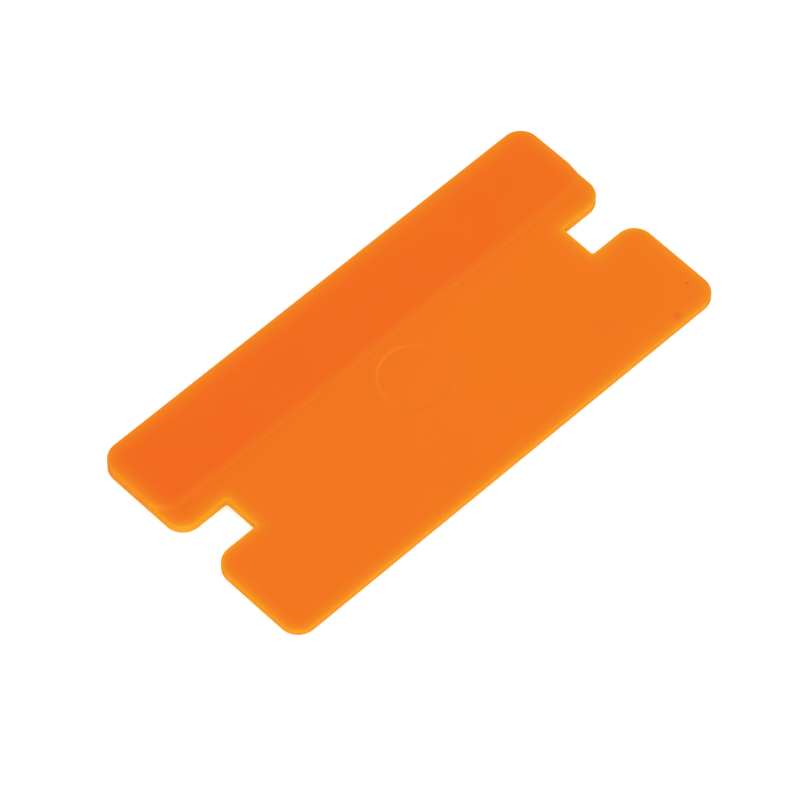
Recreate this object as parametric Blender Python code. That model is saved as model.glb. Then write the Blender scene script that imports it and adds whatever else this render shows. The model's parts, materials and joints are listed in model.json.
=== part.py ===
"""The loose blade of an algae scraper: one moulded plate with a thick spine along one long side.

Frame, in metres: the origin is at the middle of the underside, X runs along the length, Y across
the width with the spine at +Y and the scraping edge at -Y, and Z up through the thickness. The
underside lies flat at Z = 0.
"""

import math

import bmesh
import bpy
from mathutils import Matrix, Vector

MM = 0.001

# The plate's outline
LENGTH = 42.0 * MM
WIDTH = 20.4 * MM
CORNER_RADIUS = 1.55 * MM

# The notch in the middle of each end, which drops over the lugs of a holder
NOTCH_WIDTH = 3.05 * MM
NOTCH_DEPTH = 4.3 * MM
NOTCH_ROOT_RADIUS = 0.2 * MM

# The thickness: the spine is level, and the body thins from the spine to the scraping edge
SPINE_WIDTH = 6.7 * MM
SPINE_THICKNESS = 1.18 * MM
SPINE_END_RADIUS = 1.5 * MM
BODY_THICKNESS = 0.85 * MM
EDGE_THICKNESS = 0.62 * MM

# The shallow round mark that an ejector pin leaves in the top face, clear of the foot of the spine
MARK_DIAMETER = 5.4 * MM
MARK_DEPTH = 0.08 * MM
MARK_CLEARANCE = 1.05 * MM

# Moulded edges are broken by this much
EDGE_BREAK = 0.06 * MM
EDGE_BREAK_STEPS = 2
EDGE_BREAK_ANGLE = math.radians(35)

# How finely round shapes are cut into flats
ARC_STEPS = 10
ROOT_STEPS = 4
MARK_STEPS = 72
SMOOTH_ANGLE = math.radians(30)

# How far a cutter reaches past what it cuts
CUTTER_REACH = 2.0 * MM

HALF_LENGTH = LENGTH / 2
HALF_WIDTH = WIDTH / 2
STEP_Y = HALF_WIDTH - SPINE_WIDTH
MARK_Y = STEP_Y - MARK_CLEARANCE - MARK_DIAMETER / 2

PLASTIC_COLOUR = (0.90, 0.19, 0.014, 1.0)
PLASTIC_ROUGHNESS = 0.38
PLASTIC_METALLIC = 0.0


def clear_scene():
    for thing in list(bpy.data.objects):
        bpy.data.objects.remove(thing, do_unlink=True)


def arc(centre_x, centre_y, radius, start, end, steps):
    """Points from one angle to another round a centre, both ends included, angles in degrees."""
    points = []
    for step in range(steps + 1):
        angle = math.radians(start + (end - start) * step / steps)
        points.append((centre_x + radius * math.cos(angle), centre_y + radius * math.sin(angle)))
    return points


def right_end_outline():
    """The right end of the plate from its lower corner up to its upper one, notch included."""
    corner_x = HALF_LENGTH - CORNER_RADIUS
    corner_y = HALF_WIDTH - CORNER_RADIUS
    mouth_y = NOTCH_WIDTH / 2 + CORNER_RADIUS
    root_x = HALF_LENGTH - NOTCH_DEPTH + NOTCH_ROOT_RADIUS
    root_y = NOTCH_WIDTH / 2 - NOTCH_ROOT_RADIUS
    points = arc(corner_x, -corner_y, CORNER_RADIUS, -90, 0, ARC_STEPS)
    points += arc(corner_x, -mouth_y, CORNER_RADIUS, 0, 90, ARC_STEPS)
    points += arc(root_x, -root_y, NOTCH_ROOT_RADIUS, 270, 180, ROOT_STEPS)
    points += arc(root_x, root_y, NOTCH_ROOT_RADIUS, 180, 90, ROOT_STEPS)
    points += arc(corner_x, mouth_y, CORNER_RADIUS, -90, 0, ARC_STEPS)
    points += arc(corner_x, corner_y, CORNER_RADIUS, 0, 90, ARC_STEPS)
    return points


def plate_outline():
    """The whole outline, anticlockwise: the right end, then the same end turned half a turn."""
    right = right_end_outline()
    left = [(-x, -y) for x, y in right]
    return right + left


def body_top(y):
    """Height of the body's top face, which falls from the foot of the spine to the scraping edge."""
    fall = (BODY_THICKNESS - EDGE_THICKNESS) / (STEP_Y + HALF_WIDTH)
    return EDGE_THICKNESS + fall * (y + HALF_WIDTH)


def top_slope():
    """Angle of the body's top face about X."""
    return math.atan2(BODY_THICKNESS - EDGE_THICKNESS, STEP_Y + HALF_WIDTH)


def prism(name, outline, low, high):
    """A closed solid over an outline. low and high give its floor and its roof above a given y."""
    mesh = bpy.data.meshes.new(name)
    shape = bmesh.new()
    floor = [shape.verts.new((x, y, low(y))) for x, y in outline]
    roof = [shape.verts.new((x, y, high(y))) for x, y in outline]
    shape.faces.new(reversed(floor))
    shape.faces.new(roof)
    for place in range(len(outline)):
        after = (place + 1) % len(outline)
        shape.faces.new((floor[place], floor[after], roof[after], roof[place]))
    bmesh.ops.recalc_face_normals(shape, faces=shape.faces)
    shape.to_mesh(mesh)
    shape.free()
    made = bpy.data.objects.new(name, mesh)
    bpy.context.collection.objects.link(made)
    return made


def spine_cutter():
    """Everything above the body's top face, up to the step and round the spine's two inner corners."""
    far_x = HALF_LENGTH + CUTTER_REACH
    near_y = -HALF_WIDTH - CUTTER_REACH
    arc_x = HALF_LENGTH - SPINE_END_RADIUS
    arc_y = STEP_Y + SPINE_END_RADIUS
    outline = [(-far_x, near_y), (far_x, near_y), (far_x, arc_y)]
    outline += arc(arc_x, arc_y, SPINE_END_RADIUS, 0, -90, ARC_STEPS)
    outline += arc(-arc_x, arc_y, SPINE_END_RADIUS, -90, -180, ARC_STEPS)
    outline += [(-far_x, arc_y)]
    roof = SPINE_THICKNESS + CUTTER_REACH
    return prism("spine_cutter", outline, body_top, lambda y: roof)


def mark_cutter():
    """The ejector pin's end, square to the sloping top face that it left its mark in."""
    shape = bmesh.new()
    bmesh.ops.create_cone(
        shape,
        cap_ends=True,
        segments=MARK_STEPS,
        radius1=MARK_DIAMETER / 2,
        radius2=MARK_DIAMETER / 2,
        depth=2 * CUTTER_REACH,
        matrix=Matrix.Translation((0, 0, CUTTER_REACH - MARK_DEPTH)),
    )
    mesh = bpy.data.meshes.new("mark_cutter")
    shape.to_mesh(mesh)
    shape.free()
    made = bpy.data.objects.new("mark_cutter", mesh)
    made.location = Vector((0, MARK_Y, body_top(MARK_Y)))
    made.rotation_euler = (top_slope(), 0, 0)
    bpy.context.collection.objects.link(made)
    return made


def cut(target, cutter):
    """Takes the cutter out of the target, and keeps the cutter out of renders."""
    cutter.hide_render = True
    cutter.display_type = "WIRE"
    difference = target.modifiers.new(cutter.name, "BOOLEAN")
    difference.operation = "DIFFERENCE"
    difference.solver = "EXACT"
    difference.object = cutter


def break_edges(target):
    """Small rounds along the sharp edges, as a mould leaves them."""
    edges = target.modifiers.new("edge_break", "BEVEL")
    edges.width = EDGE_BREAK
    edges.segments = EDGE_BREAK_STEPS
    edges.limit_method = "ANGLE"
    edges.angle_limit = EDGE_BREAK_ANGLE


def orange_plastic():
    material = bpy.data.materials.new("orange_plastic")
    material.use_nodes = True
    shader = material.node_tree.nodes["Principled BSDF"]
    shader.inputs["Base Color"].default_value = PLASTIC_COLOUR
    shader.inputs["Roughness"].default_value = PLASTIC_ROUGHNESS
    shader.inputs["Metallic"].default_value = PLASTIC_METALLIC
    material.diffuse_color = PLASTIC_COLOUR
    return material


def scraper_blade():
    """The blade: a plate as thick as its spine, thinned over the body, with the ejector mark."""
    blade = prism("scraper_blade", plate_outline(), lambda y: 0.0, lambda y: SPINE_THICKNESS)
    blade.data.materials.append(orange_plastic())
    cut(blade, spine_cutter())
    cut(blade, mark_cutter())
    break_edges(blade)
    blade.data.shade_smooth()
    blade.data.set_sharp_from_angle(angle=SMOOTH_ANGLE)
    return blade


def main():
    clear_scene()
    scraper_blade()


main()
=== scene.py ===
"""The looks of a loose algae scraper blade: one satin, slightly translucent orange moulding.

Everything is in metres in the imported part's frame: X along the length, Y across the width with the
spine at +Y and the scraping edge at -Y, Z up. The blade is drawn in millimetres as a fine height
field over its outline, and is scaled once, when its mesh is made.
"""

import json
import math

import bpy
import numpy as np
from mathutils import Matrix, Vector
from mathutils.geometry import delaunay_2d_cdt


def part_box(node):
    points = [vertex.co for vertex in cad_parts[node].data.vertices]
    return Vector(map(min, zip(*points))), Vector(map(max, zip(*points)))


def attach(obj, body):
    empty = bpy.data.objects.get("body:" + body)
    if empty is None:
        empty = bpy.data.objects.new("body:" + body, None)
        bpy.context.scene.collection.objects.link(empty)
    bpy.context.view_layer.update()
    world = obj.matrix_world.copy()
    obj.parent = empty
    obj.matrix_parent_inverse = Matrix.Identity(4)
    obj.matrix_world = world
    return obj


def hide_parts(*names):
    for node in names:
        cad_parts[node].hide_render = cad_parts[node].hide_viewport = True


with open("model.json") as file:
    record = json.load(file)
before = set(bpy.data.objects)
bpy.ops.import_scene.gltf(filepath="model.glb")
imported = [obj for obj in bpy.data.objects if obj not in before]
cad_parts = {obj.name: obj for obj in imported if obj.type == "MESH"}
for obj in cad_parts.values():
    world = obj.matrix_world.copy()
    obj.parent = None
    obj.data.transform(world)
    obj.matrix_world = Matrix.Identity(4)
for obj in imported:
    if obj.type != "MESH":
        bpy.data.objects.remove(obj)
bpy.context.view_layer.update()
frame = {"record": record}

MM = 0.001
NODE = "scraper_blade"

# The plate, from the frame, in millimetres
node_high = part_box(NODE)[1]
HALF_LENGTH = node_high.x / MM
HALF_WIDTH = node_high.y / MM
SPINE_THICKNESS = node_high.z / MM
mount_at = {mount["name"]: mount["pos_m"] for mount in frame["record"]["mounts"]}
STEP_Y = mount_at["spine_step"][1] / MM
NOTCH_FLOOR_X = mount_at["notch_seat_right"][0] / MM

# The plate's other sizes, in millimetres
CORNER_RADIUS = 1.55
NOTCH_WIDTH = 3.05
NOTCH_ROOT_RADIUS = 0.2
SPINE_END_RADIUS = 1.5
BODY_THICKNESS = 0.85
EDGE_THICKNESS = 0.62
MARK_RADIUS = 2.7
MARK_DEPTH = 0.08
MARK_Y = -0.25

# Rounds of the moulded edges, and how far the step's wall and the mark's wall lean, in millimetres
TOP_ROUND = 0.06
UNDER_ROUND = 0.05
STEP_RUN = 0.4
MARK_RUN = 0.3

# Where the mesh has its rows of points, in millimetres from the edge or wall that they follow
ROUND_ROWS = 5
GLOW_ROWS = (0.09, 0.13, 0.18, 0.26, 0.37, 0.5, 0.68, 0.9, 1.15, 1.42)
STEP_ROWS = (0.23, 0.3, 0.42, 0.56, 0.75)
MARK_ROWS = (0.17, 0.21, 0.26, 0.45)
WALL_ROWS = 9
RUN_ROWS = 9
OUTLINE_SPACING = 0.2
STEP_SPACING = 0.25
MARK_SPACING = 0.15
FACE_SPACING = 0.7
CLEAR_OF_EDGE = 1.6
CLEAR_OF_STEP = 1.05
CLEAR_OF_MARK = 0.7
MERGE_GAP = 0.0004

# How many points are measured against the edge line at a time
BLOCK = 2000

# The plastic's colours: thin, thick, and where light gathers in its edges and walls
BODY_COLOUR = (0.912, 0.165, 0.0020)
SPINE_COLOUR = (0.912, 0.125, 0.0020)
GLOW_COLOUR = (0.940, 0.365, 0.0015)
STAIN_COLOUR = (0.840, 0.085, 0.0090)

# Painted shade in the thin body at the foot of the spine's step, in the thick spine's deeper colour:
# how strong it is, and how far it carries in millimetres
FOOT_SHADE = 0.32
FOOT_SHADE_REACH = 0.8

# The share of the glow in the walls, its reach in millimetres into the thin body and into the
# thick spine, and what the thick spine takes off it
EDGE_GLOW = 0.75
BODY_GLOW_REACH = 0.33
SPINE_GLOW_REACH = 0.50
THICK_GLOW_LOSS = 0.16

# In the notches' walls the glow is whole: how far past them that carries, in millimetres
NOTCH_GLOW_REACH = 1.5

# The whole plate is a little yellower towards +X, as in the photo
# This is painted light, brighter towards +X.
GLOW_ALONG = 0.085

# The glow of the step's wall and of the mark's wall, which is lit most towards MARK_LIT_SIDE
STEP_GLOW = 0.21
STEP_CREST_REACH = 0.15
STEP_FOOT_REACH = 0.15
MARK_GLOW = 0.36
MARK_GLOW_REACH = 0.07
MARK_LIT_SIDE = math.radians(140)
MARK_LIT_BIAS = 0.3
MARK_UNLIT = 0.25

# The surface: satin, with moulding grain, cloudy colour, and the faint wear of handling. Sizes,
# heights and reaches are in millimetres, and a detail is how many finer layers a noise adds
ROUGHNESS_LOW = 0.26
ROUGHNESS_HIGH = 0.38
SPECULAR_LEVEL = 0.25
CLOUD_SIZE = 5.0
CLOUD_DETAIL = 3.0
CLOUD_SHARE = 0.07
SATIN_SIZE = 1.2
SATIN_DETAIL = 2.0
GRAIN_SIZE = 0.16
GRAIN_DETAIL = 2.0
GRAIN_HEIGHT = 0.0012
HAIRLINE_SPACING = 1.6
HAIRLINE_STRETCH = 22.0
HAIRLINE_DETAIL = 1.0
HAIRLINE_TURNS = (math.radians(27), math.radians(-48))
HAIRLINE_HEIGHT = 0.0015
WEAR_REACH = 0.16
WEAR_SIZE = 0.5
WEAR_DETAIL = 3.0
WEAR_SHARE = 0.15
WEAR_ROUGHNESS = 0.12

# Where in their noise a hairline and a worn patch lie: a hairline round one value and no further
# from it than its width, a worn patch from the first value to the second
HAIRLINE_VALUE = 0.66
HAIRLINE_WIDTH = 0.02
WORN_FROM = 0.62
WORN_TO = 0.45

# Small marks on the upper face: x, y and radius in millimetres, and how strongly they show
DARK_SPOTS = (
    (19.81, -7.99, 0.20, 0.85),
    (17.30, -9.53, 0.60, 0.40),
    (12.79, -6.56, 1.80, 0.12),
    (-10.24, -0.20, 0.60, 0.12),
)
PALE_SPOTS = ((7.71, 3.31, 0.25, 0.25),)

# Fine scratches: a circle's x, y and radius, then the x, y and radius of the patch that shows it
SCRATCHES = (
    (-7.4, 9.9, 1.75, -8.7, 8.7, 0.7),
    (-7.1, 9.9, 2.25, -8.9, 8.5, 0.6),
    (9.4, -3.9, 4.15, 6.5, -6.9, 0.6),
)
SCRATCH_WIDTH = 0.06
SCRATCH_SHARE = 0.12

# The camera, at the photograph's angle
CAMERA_AZIMUTH = math.radians(-44.106)
CAMERA_ELEVATION = math.radians(56.181)
CAMERA_DISTANCE = 0.4374
CAMERA_LENS_MM = 275.9
SENSOR_WIDTH_MM = 36.0
AIM_RIGHT = -0.866 * MM
AIM_UP = -1.368 * MM

# The studio: softboxes by azimuth and elevation in degrees, width in metres and watts, the one that
# the gloss doesn't pick up, an even sky, and a floor with a light of its own
SOFTBOX_DISTANCE = 1.6
SOFTBOXES = {
    "key_softbox": (-44, 55, 1.1, 2.4),
    "left_softbox": (-130, 45, 0.9, 0.8),
    "right_softbox": (60, 45, 0.9, 2.2),
    "front_fill": (-55, 18, 0.9, 1.8),
}
UNSEEN_IN_GLOSS = "front_fill"
SKY_STRENGTH = 0.855
FLOOR_DROP = 0.02 * MM
FLOOR_HALF = 3.0
FLOOR_GREY = 0.82
FLOOR_ROUGHNESS = 0.9
FLOOR_LIFT = 0.44


# ---------------------------------------------------------------- the outline and its rows


def arc(centre, radius, start, end, spacing):
    """Points round a centre from one angle to another in degrees, both ends included."""
    turn = math.radians(end - start)
    steps = max(3, math.ceil(abs(turn) * radius / spacing))
    angles = [math.radians(start) + turn * step / steps for step in range(steps + 1)]
    return [(centre[0] + radius * math.cos(a), centre[1] + radius * math.sin(a)) for a in angles]


def spaced(points, spacing, closed):
    """The same line with its long straight runs cut into even steps."""
    made = []
    last = len(points) if closed else len(points) - 1
    for place in range(last):
        start = np.array(points[place])
        end = np.array(points[(place + 1) % len(points)])
        steps = max(1, math.ceil(np.linalg.norm(end - start) / spacing))
        made += [tuple(start + (end - start) * step / steps) for step in range(steps)]
    if not closed:
        made.append(points[-1])
    return made


def outline(inset=0.0, spacing=OUTLINE_SPACING):
    """The plate's edge line, moved inwards: the +X end with its notch, then the same turned to -X."""
    corner = CORNER_RADIUS - inset
    root = NOTCH_ROOT_RADIUS + inset
    corner_x = HALF_LENGTH - CORNER_RADIUS
    corner_y = HALF_WIDTH - CORNER_RADIUS
    mouth_y = NOTCH_WIDTH / 2 + CORNER_RADIUS
    root_x = NOTCH_FLOOR_X + NOTCH_ROOT_RADIUS
    root_y = NOTCH_WIDTH / 2 - NOTCH_ROOT_RADIUS
    right = arc((corner_x, -corner_y), corner, -90, 0, spacing)
    right += arc((corner_x, -mouth_y), corner, 0, 90, spacing)
    right += arc((root_x, -root_y), root, 270, 180, spacing)
    right += arc((root_x, root_y), root, 180, 90, spacing)
    right += arc((corner_x, mouth_y), corner, -90, 0, spacing)
    right += arc((corner_x, corner_y), corner, 0, 90, spacing)
    left = [(-x, -y) for x, y in right]
    return spaced(right + left, spacing, True)


def step_line(offset):
    """The foot line of the spine, moved towards the spine, with a hook round each of its ends."""
    centre_x = HALF_LENGTH - SPINE_END_RADIUS
    centre_y = STEP_Y + SPINE_END_RADIUS
    radius = SPINE_END_RADIUS - offset
    points = arc((-centre_x, centre_y), radius, 180, 270, STEP_SPACING)
    points += arc((centre_x, centre_y), radius, 270, 360, STEP_SPACING)
    return spaced(points, STEP_SPACING, False)


def mark_line(offset):
    return arc((0, MARK_Y), MARK_RADIUS + offset, 0, 360, MARK_SPACING)[:-1]


def edge_gap(points):
    """How far each point lies inside the plate's edge line."""
    line = np.array(outline())
    run = np.roll(line, -1, axis=0) - line
    length_squared = (run**2).sum(axis=1)
    gaps = []
    for block in np.array_split(points, 1 + len(points) // BLOCK):
        to_point = block[:, None, :] - line[None]
        share = np.clip((to_point * run).sum(axis=2) / length_squared, 0, 1)
        gaps.append(np.linalg.norm(to_point - share[..., None] * run, axis=2).min(axis=1))
    return np.concatenate(gaps)


def inside(points):
    """Whether each point lies within the plate's edge line, by counting the crossings to its right."""
    line = np.array(outline())
    after = np.roll(line, -1, axis=0)
    odd = np.zeros(len(points), dtype=bool)
    for (x0, y0), (x1, y1) in zip(line, after):
        if y0 == y1:
            continue
        crosses = (y0 > points[:, 1]) != (y1 > points[:, 1])
        reach = x0 + (points[:, 1] - y0) * (x1 - x0) / (y1 - y0)
        odd ^= crosses & (points[:, 0] < reach)
    return odd


def step_gap(points):
    """Distance from the step line, positive on the spine."""
    x = np.abs(points[:, 0])
    y = points[:, 1]
    centre_x = HALF_LENGTH - SPINE_END_RADIUS
    centre_y = STEP_Y + SPINE_END_RADIUS
    straight = y - STEP_Y
    round_end = SPINE_END_RADIUS - np.hypot(x - centre_x, y - centre_y)
    past_end = np.minimum(straight, np.hypot(x - HALF_LENGTH, y - centre_y))
    gap = np.where(x > centre_x, round_end, straight)
    return np.where(y > centre_y, past_end, gap)


def mark_gap(points):
    """Distance from the mark's rim, positive inside it."""
    return MARK_RADIUS - np.hypot(points[:, 0], points[:, 1] - MARK_Y)


# ---------------------------------------------------------------- the shape


def smooth(share):
    """The share, kept from 0 to 1, with a soft start and a soft end."""
    share = np.clip(share, 0, 1)
    return share**2 * (3 - 2 * share)


def rise(gap, run):
    """0 before a wall and 1 past it, with a rounded foot and crest."""
    return smooth(gap / run + 0.5)


def rounding(gap, radius):
    """How far an edge's round lies under the flat face."""
    inward = radius - np.minimum(gap, radius)
    return radius - np.sqrt(np.maximum(radius**2 - inward**2, 0))


def top_height(points, gap):
    """The upper face: the thinning body, the spine, the mark and the edges' rounds."""
    fall = (BODY_THICKNESS - EDGE_THICKNESS) / (STEP_Y + HALF_WIDTH)
    body = EDGE_THICKNESS + fall * (points[:, 1] + HALF_WIDTH)
    height = body + (SPINE_THICKNESS - body) * rise(step_gap(points), STEP_RUN)
    height -= MARK_DEPTH * rise(mark_gap(points), MARK_RUN)
    return height - rounding(gap, TOP_ROUND)


def round_insets(radius):
    """Insets at even turns round an edge of this radius, from its wall to its face."""
    turns = [math.pi / 2 * row / (ROUND_ROWS - 1) for row in range(ROUND_ROWS)]
    return [radius * (1 - math.sin(turn)) for turn in reversed(turns)]


def row_offsets(run, rows):
    """Offsets of the rows across a wall and on both sides of it."""
    across = [run * (row / (RUN_ROWS - 1) - 0.5) for row in range(RUN_ROWS)]
    return across + list(rows) + [-row for row in rows]


def face_points():
    """An even field of points over the flat stretches, clear of every row."""
    rows = math.ceil(2 * HALF_WIDTH / (FACE_SPACING * math.sqrt(0.75)))
    columns = math.ceil(2 * HALF_LENGTH / FACE_SPACING)
    points = []
    for row in range(rows + 1):
        y = -HALF_WIDTH + row * FACE_SPACING * math.sqrt(0.75)
        shift = FACE_SPACING / 2 * (row % 2)
        points += [(-HALF_LENGTH + shift + column * FACE_SPACING, y) for column in range(columns + 1)]
    points = np.array(points)
    clear = inside(points) & (edge_gap(points) > CLEAR_OF_EDGE)
    clear &= np.abs(step_gap(points)) > CLEAR_OF_STEP
    clear &= np.abs(mark_gap(points)) > CLEAR_OF_MARK
    return points[clear]


class Net:
    """Points and the lines that the triangles keep."""

    def __init__(self):
        self.points = []
        self.lines = []

    def add(self, points, closed):
        """A line of points, broken wherever it leaves the plate."""
        within = inside(np.array(points)) if not closed else np.ones(len(points), dtype=bool)
        first = len(self.points)
        self.points += [tuple(point) for point in points]
        count = len(points)
        for place in range(count if closed else count - 1):
            after = (place + 1) % count
            if within[place] or within[after]:
                self.lines.append((first + place, first + after))

    def triangles(self):
        """The triangles within the plate's edge line, as points and faces."""
        vectors = [Vector(point) for point in self.points]
        made = delaunay_2d_cdt(vectors, self.lines, [], 0, MERGE_GAP)
        points = np.array([tuple(point) for point in made[0]])
        faces = np.array(made[2])
        keep = inside(points[faces].mean(axis=1))
        faces = faces[keep]
        used, faces = np.unique(faces, return_inverse=True)
        return points[used], faces.reshape(-1, 3)


def plan():
    """The plate seen from above, cut into triangles that follow its edges, its step and its mark."""
    net = Net()
    insets = round_insets(TOP_ROUND) + list(GLOW_ROWS)
    for inset in insets:
        net.add(outline(inset), True)
    for offset in row_offsets(STEP_RUN, STEP_ROWS):
        net.add(step_line(offset), False)
    for offset in row_offsets(MARK_RUN, MARK_ROWS):
        net.add(mark_line(offset), True)
    net.points += [tuple(point) for point in face_points()]
    return net.triangles()


def rim_loop(faces):
    """The points of the triangles' outer rim in order, anticlockwise."""
    edges = np.concatenate([faces[:, [0, 1]], faces[:, [1, 2]], faces[:, [2, 0]]])
    after = {}
    both_ways = {(int(a), int(b)) for a, b in edges}
    for start, end in both_ways:
        if (end, start) not in both_ways:
            after[start] = end
    loop = [min(after)]
    while after[loop[-1]] != loop[0]:
        loop.append(after[loop[-1]])
    return loop


def wall_band(upper, lower):
    """Faces between two rows of a wall, facing out."""
    after = np.roll(np.arange(len(upper)), -1)
    return np.column_stack([upper, lower, lower[after], upper[after]])


class Shape:
    """The blade in millimetres: its points, its faces, and where each point belongs."""

    def __init__(self):
        self.flat, faces = plan()
        self.gap = edge_gap(self.flat)
        rim = np.array(rim_loop(faces))
        self.gap[rim] = 0.0
        count = len(self.flat)
        top_z = top_height(self.flat, self.gap)
        under_z = rounding(self.gap, UNDER_ROUND)
        self.points = [np.column_stack([self.flat, top_z]), np.column_stack([self.flat, under_z])]
        self.faces = [*faces, *(faces[:, ::-1] + count)]
        self.place = [np.arange(count), np.arange(count)]
        self.upper = [np.ones(count), np.zeros(count)]
        self.add_wall(rim, top_z[rim], under_z[rim])

    def add_wall(self, rim, top_z, under_z):
        """Rows of points down the wall, and the faces between them."""
        above = rim
        for row in range(1, WALL_ROWS):
            z = top_z + (under_z - top_z) * row / WALL_ROWS
            below = np.arange(len(rim)) + sum(len(block) for block in self.points)
            self.points.append(np.column_stack([self.flat[rim], z]))
            self.place.append(rim)
            self.upper.append(np.zeros(len(rim)))
            self.faces += [*wall_band(above, below)]
            above = below
        self.faces += [*wall_band(above, rim + len(self.flat))]

    def shades(self):
        """What the plastic's colour follows, at every point."""
        place = np.concatenate(self.place)
        upper = np.concatenate(self.upper)
        flat = self.flat[place]
        gap = self.gap[place]
        depth_and_foot_shade = spine_depth_and_foot_shade(flat)
        share = EDGE_GLOW + (1 - EDGE_GLOW) * notch_share(flat)
        dark = 1 - share * edge_glow(gap, depth_and_foot_shade)
        dark *= 1 - upper * step_glow(flat)
        dark *= 1 - upper * mark_glow(flat)
        # Painted light, brighter towards +X
        dark *= 1 - GLOW_ALONG * (flat[:, 0] / HALF_LENGTH + 1) / 2
        return {"edge_gap": gap, "depth_and_foot_shade": depth_and_foot_shade, "glow": 1 - dark, "upper": upper}


def spine_depth_and_foot_shade(flat):
    """1 over the thick spine; past its foot, painted shade that falls away into the thin body."""
    step = step_gap(flat)
    # Past the spine's foot this is painted shade, darkest at the foot
    return np.where(step > 0, 1.0, FOOT_SHADE * np.exp(np.minimum(step, 0) / FOOT_SHADE_REACH))


def edge_glow(gap, depth_and_foot_shade):
    """Light gathers in the plastic's walls and fades into its faces."""
    reach = BODY_GLOW_REACH + (SPINE_GLOW_REACH - BODY_GLOW_REACH) * depth_and_foot_shade
    return np.exp(-gap / reach) * (1 - THICK_GLOW_LOSS * depth_and_foot_shade)


def notch_share(flat):
    """1 along the walls of the notches, falling to 0 round their mouths."""
    past_floor = np.maximum(NOTCH_FLOOR_X - np.abs(flat[:, 0]), 0)
    past_wall = np.hypot(past_floor, flat[:, 1]) - NOTCH_WIDTH / 2
    return smooth(1 - past_wall / NOTCH_GLOW_REACH)


def step_glow(flat):
    step = step_gap(flat)
    reach = np.where(step > 0, STEP_CREST_REACH, STEP_FOOT_REACH)
    return STEP_GLOW * np.exp(-np.abs(step) / reach)


def mark_glow(flat):
    turn = np.arctan2(flat[:, 1] - MARK_Y, flat[:, 0])
    lit = np.clip(np.cos(turn - MARK_LIT_SIDE) + MARK_LIT_BIAS, MARK_UNLIT, 1)
    return MARK_GLOW * lit * np.exp(-np.abs(mark_gap(flat)) / MARK_GLOW_REACH)


def make_blade():
    shape = Shape()
    points = np.concatenate(shape.points) * MM
    mesh = bpy.data.meshes.new("algae_scraper_blade")
    mesh.from_pydata(points.tolist(), [], [face.tolist() for face in shape.faces])
    mesh.validate()
    mesh.shade_smooth()
    for name, values in shape.shades().items():
        attribute = mesh.attributes.new(name, "FLOAT", "POINT")
        attribute.data.foreach_set("value", values.astype(np.float32))
    made = bpy.data.objects.new("algae_scraper_blade", mesh)
    bpy.context.collection.objects.link(made)
    return made


# ---------------------------------------------------------------- the plastic


class Tree:
    """A short way to write the nodes of a material or a world."""

    def __init__(self, owner):
        owner.use_nodes = True
        self.nodes = owner.node_tree.nodes
        self.links = owner.node_tree.links

    def feed(self, socket, value):
        if isinstance(value, bpy.types.NodeSocket):
            self.links.new(value, socket)
        else:
            socket.default_value = value

    def node(self, kind, inputs, **settings):
        """A node with its settings and its inputs, which are values or other nodes' outputs."""
        made = self.nodes.new(kind)
        for name, value in settings.items():
            setattr(made, name, value)
        for name, value in inputs.items():
            self.feed(made.inputs[name], value)
        return made

    def math(self, operation, first, second=0.0):
        return self.node("ShaderNodeMath", {0: first, 1: second}, operation=operation).outputs[0]

    def fade(self, value, start, end):
        """1 where the value is at the start or before it, falling smoothly to 0 at the end."""
        inputs = {"Value": value, "From Min": start, "From Max": end, "To Min": 1.0, "To Max": 0.0}
        return self.node("ShaderNodeMapRange", inputs, interpolation_type="SMOOTHSTEP").outputs[0]

    def attribute(self, name):
        return self.node("ShaderNodeAttribute", {}, attribute_name=name).outputs["Fac"]

    def mix(self, share, first, second):
        """Between two colours, which are sockets or (red, green, blue)."""
        first = (*first, 1.0) if isinstance(first, tuple) else first
        inputs = {0: share, 6: first, 7: (*second, 1.0)}
        return self.node("ShaderNodeMix", inputs, data_type="RGBA").outputs[2]

    def noise(self, place, size, detail):
        inputs = {"Vector": place, "Scale": 1 / size, "Detail": detail}
        return self.node("ShaderNodeTexNoise", inputs).outputs[0]

    def distance(self, place, x, y):
        inputs = {0: place, 1: (x, y, 0)}
        return self.node("ShaderNodeVectorMath", inputs, operation="DISTANCE").outputs["Value"]


def in_millimetres(tree):
    """The place on the blade in millimetres."""
    place = tree.node("ShaderNodeTexCoord", {}).outputs["Object"]
    inputs = {0: place, 3: 1 / MM}
    return tree.node("ShaderNodeVectorMath", inputs, operation="SCALE").outputs[0]


def in_plan(tree, place):
    """The same place with its height taken away."""
    inputs = {0: place, 1: (1, 1, 0)}
    return tree.node("ShaderNodeVectorMath", inputs, operation="MULTIPLY").outputs[0]


def hairlines(tree, plan_place):
    """Faint straight scratches in two directions, 1 on a line and 0 off it."""
    total = None
    for turn in HAIRLINE_TURNS:
        across = (HAIRLINE_STRETCH, 1, 1)
        inputs = {"Vector": plan_place, "Rotation": (0, 0, turn), "Scale": across}
        stretched = tree.node("ShaderNodeMapping", inputs, vector_type="TEXTURE").outputs[0]
        ridge = tree.noise(stretched, HAIRLINE_SPACING / HAIRLINE_STRETCH, HAIRLINE_DETAIL)
        off_line = tree.math("ABSOLUTE", tree.math("SUBTRACT", ridge, HAIRLINE_VALUE))
        lines = tree.fade(off_line, 0.0, HAIRLINE_WIDTH)
        total = lines if total is None else tree.math("MAXIMUM", total, lines)
    return total


def spots(tree, plan_place, table):
    """The given spots in one mask, each with a soft rim."""
    total = 0.0
    for x, y, radius, share in table:
        spot = tree.fade(tree.distance(plan_place, x, y), 0.0, radius)
        total = tree.math("MAXIMUM", tree.math("MULTIPLY", spot, share), total)
    return total


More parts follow.
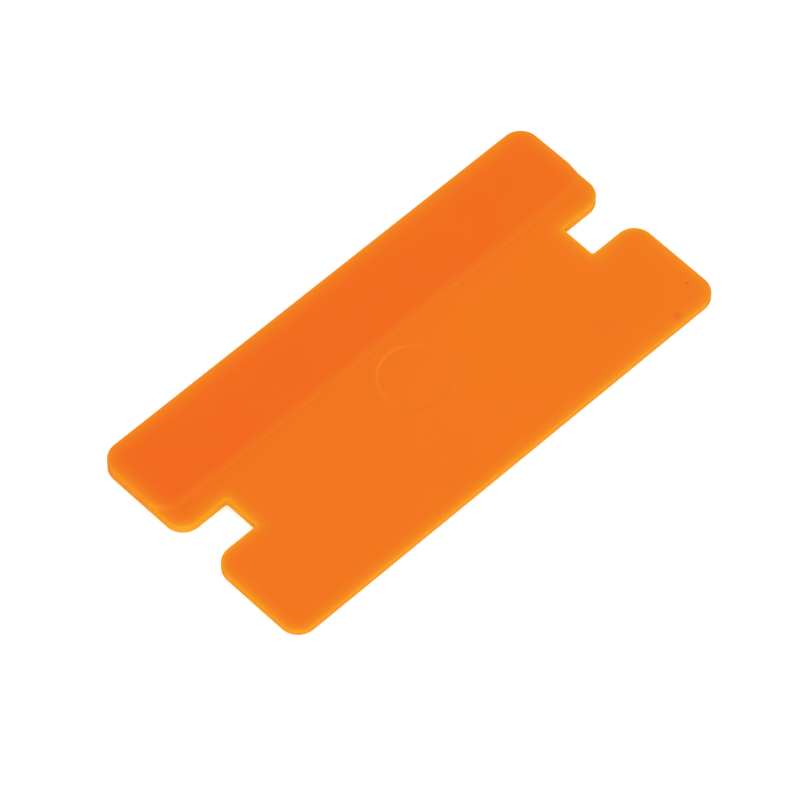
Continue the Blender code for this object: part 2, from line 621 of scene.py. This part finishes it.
def scratches(tree, plan_place):
    """Short curved lines: the part of a circle that lies within a patch."""
    total = 0.0
    for x, y, radius, patch_x, patch_y, patch in SCRATCHES:
        off_line = tree.math("SUBTRACT", tree.distance(plan_place, x, y), radius)
        line = tree.fade(tree.math("ABSOLUTE", off_line), 0.0, SCRATCH_WIDTH)
        shown = tree.fade(tree.distance(plan_place, patch_x, patch_y), 0.0, patch)
        total = tree.math("MAXIMUM", tree.math("MULTIPLY", line, shown), total)
    return total


def orange_plastic():
    """The colour, then the roughness, then the bump."""
    material = bpy.data.materials.new("orange_plastic")
    tree = Tree(material)
    shader = tree.nodes["Principled BSDF"]
    place = in_millimetres(tree)
    plan_place = in_plan(tree, place)
    upper = tree.attribute("upper")
    lines = tree.math("MULTIPLY", hairlines(tree, plan_place), upper)
    scratch = tree.math("MULTIPLY", scratches(tree, plan_place), upper)
    edge = tree.fade(tree.attribute("edge_gap"), 0.0, WEAR_REACH)
    worn = tree.fade(tree.noise(place, WEAR_SIZE, WEAR_DETAIL), WORN_FROM, WORN_TO)
    wear = tree.math("MULTIPLY", edge, worn)

    # The thick spine's deeper colour, with painted shade at the foot of its step
    base = tree.mix(tree.attribute("depth_and_foot_shade"), BODY_COLOUR, SPINE_COLOUR)
    cloud = tree.math("MULTIPLY", tree.noise(place, CLOUD_SIZE, CLOUD_DETAIL), CLOUD_SHARE)
    pale = tree.math("ADD", cloud, tree.math("MULTIPLY", scratch, SCRATCH_SHARE))
    pale = tree.math("ADD", pale, tree.math("MULTIPLY", spots(tree, plan_place, PALE_SPOTS), upper))
    pale = tree.math("ADD", pale, tree.math("MULTIPLY", wear, WEAR_SHARE))
    base = tree.mix(pale, base, GLOW_COLOUR)
    base = tree.mix(tree.attribute("glow"), base, GLOW_COLOUR)
    stain = tree.math("MULTIPLY", spots(tree, plan_place, DARK_SPOTS), upper)
    tree.feed(shader.inputs["Base Color"], tree.mix(stain, base, STAIN_COLOUR))

    patches = tree.noise(place, SATIN_SIZE, SATIN_DETAIL)
    satin = tree.math("MULTIPLY", patches, ROUGHNESS_HIGH - ROUGHNESS_LOW)
    rubbed = tree.math("MULTIPLY", tree.math("ADD", wear, lines), WEAR_ROUGHNESS)
    roughness = tree.math("ADD", tree.math("ADD", satin, ROUGHNESS_LOW), rubbed)
    tree.feed(shader.inputs["Roughness"], roughness)

    grain = tree.math("MULTIPLY", tree.noise(place, GRAIN_SIZE, GRAIN_DETAIL), GRAIN_HEIGHT * MM)
    cut = tree.math("MULTIPLY", tree.math("ADD", lines, scratch), -HAIRLINE_HEIGHT * MM)
    height = tree.math("ADD", grain, cut)
    bump = tree.node("ShaderNodeBump", {"Height": height, "Distance": 1.0})
    tree.feed(shader.inputs["Normal"], bump.outputs[0])
    shader.inputs["Specular IOR Level"].default_value = SPECULAR_LEVEL
    return material


# ---------------------------------------------------------------- the studio


def direction(azimuth, elevation):
    """From the object towards a place at this azimuth (0 is -Y, 90 is +X) and height angle."""
    level = math.cos(elevation)
    return Vector((math.sin(azimuth) * level, -math.cos(azimuth) * level, math.sin(elevation)))


def add_camera():
    back = direction(CAMERA_AZIMUTH, CAMERA_ELEVATION)
    right = Vector((math.cos(CAMERA_AZIMUTH), math.sin(CAMERA_AZIMUTH), 0))
    up = back.cross(right)
    data = bpy.data.cameras.new("camera")
    data.lens = CAMERA_LENS_MM
    data.sensor_width = SENSOR_WIDTH_MM
    camera = bpy.data.objects.new("camera", data)
    camera.location = CAMERA_DISTANCE * back + AIM_RIGHT * right + AIM_UP * up
    camera.rotation_mode = "QUATERNION"
    camera.rotation_quaternion = (-back).to_track_quat("-Z", "Y")
    bpy.context.collection.objects.link(camera)
    bpy.context.scene.camera = camera


def add_softbox(name, azimuth, elevation, size, watts):
    towards = direction(math.radians(azimuth), math.radians(elevation))
    data = bpy.data.lights.new(name, "AREA")
    data.shape = "DISK"
    data.size = size
    data.energy = watts
    lamp = bpy.data.objects.new(name, data)
    lamp.location = towards * SOFTBOX_DISTANCE
    lamp.rotation_mode = "QUATERNION"
    lamp.rotation_quaternion = towards.to_track_quat("Z", "Y")
    lamp.visible_glossy = name != UNSEEN_IN_GLOSS
    bpy.context.collection.objects.link(lamp)


def add_floor():
    """A pale floor with a light of its own, which the plastic's gloss doesn't pick up."""
    mesh = bpy.data.meshes.new("floor")
    corners = [(-1, -1), (1, -1), (1, 1), (-1, 1)]
    points = [(x * FLOOR_HALF, y * FLOOR_HALF, -FLOOR_DROP) for x, y in corners]
    mesh.from_pydata(points, [], [(0, 1, 2, 3)])
    material = bpy.data.materials.new("pale_floor")
    shader = Tree(material).nodes["Principled BSDF"]
    shader.inputs["Base Color"].default_value = (FLOOR_GREY, FLOOR_GREY, FLOOR_GREY, 1)
    shader.inputs["Roughness"].default_value = FLOOR_ROUGHNESS
    shader.inputs["Specular IOR Level"].default_value = 0.0
    shader.inputs["Emission Color"].default_value = (1, 1, 1, 1)
    shader.inputs["Emission Strength"].default_value = FLOOR_LIFT
    mesh.materials.append(material)
    floor = bpy.data.objects.new("floor", mesh)
    floor.visible_glossy = False
    bpy.context.collection.objects.link(floor)


def add_sky():
    """The even white light of a photo tent, which the plastic's gloss doesn't pick up."""
    world = bpy.data.worlds.new("studio")
    background = Tree(world).nodes["Background"]
    background.inputs["Color"].default_value = (1, 1, 1, 1)
    background.inputs["Strength"].default_value = SKY_STRENGTH
    world.cycles_visibility.glossy = False
    bpy.context.scene.world = world


# ---------------------------------------------------------------- putting it together

bpy.context.scene.view_settings.view_transform = "Standard"
add_camera()
add_sky()
add_floor()
for name, settings in SOFTBOXES.items():
    add_softbox(name, *settings)
blade = make_blade()
blade.data.materials.append(orange_plastic())
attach(blade, "root")
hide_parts(NODE)
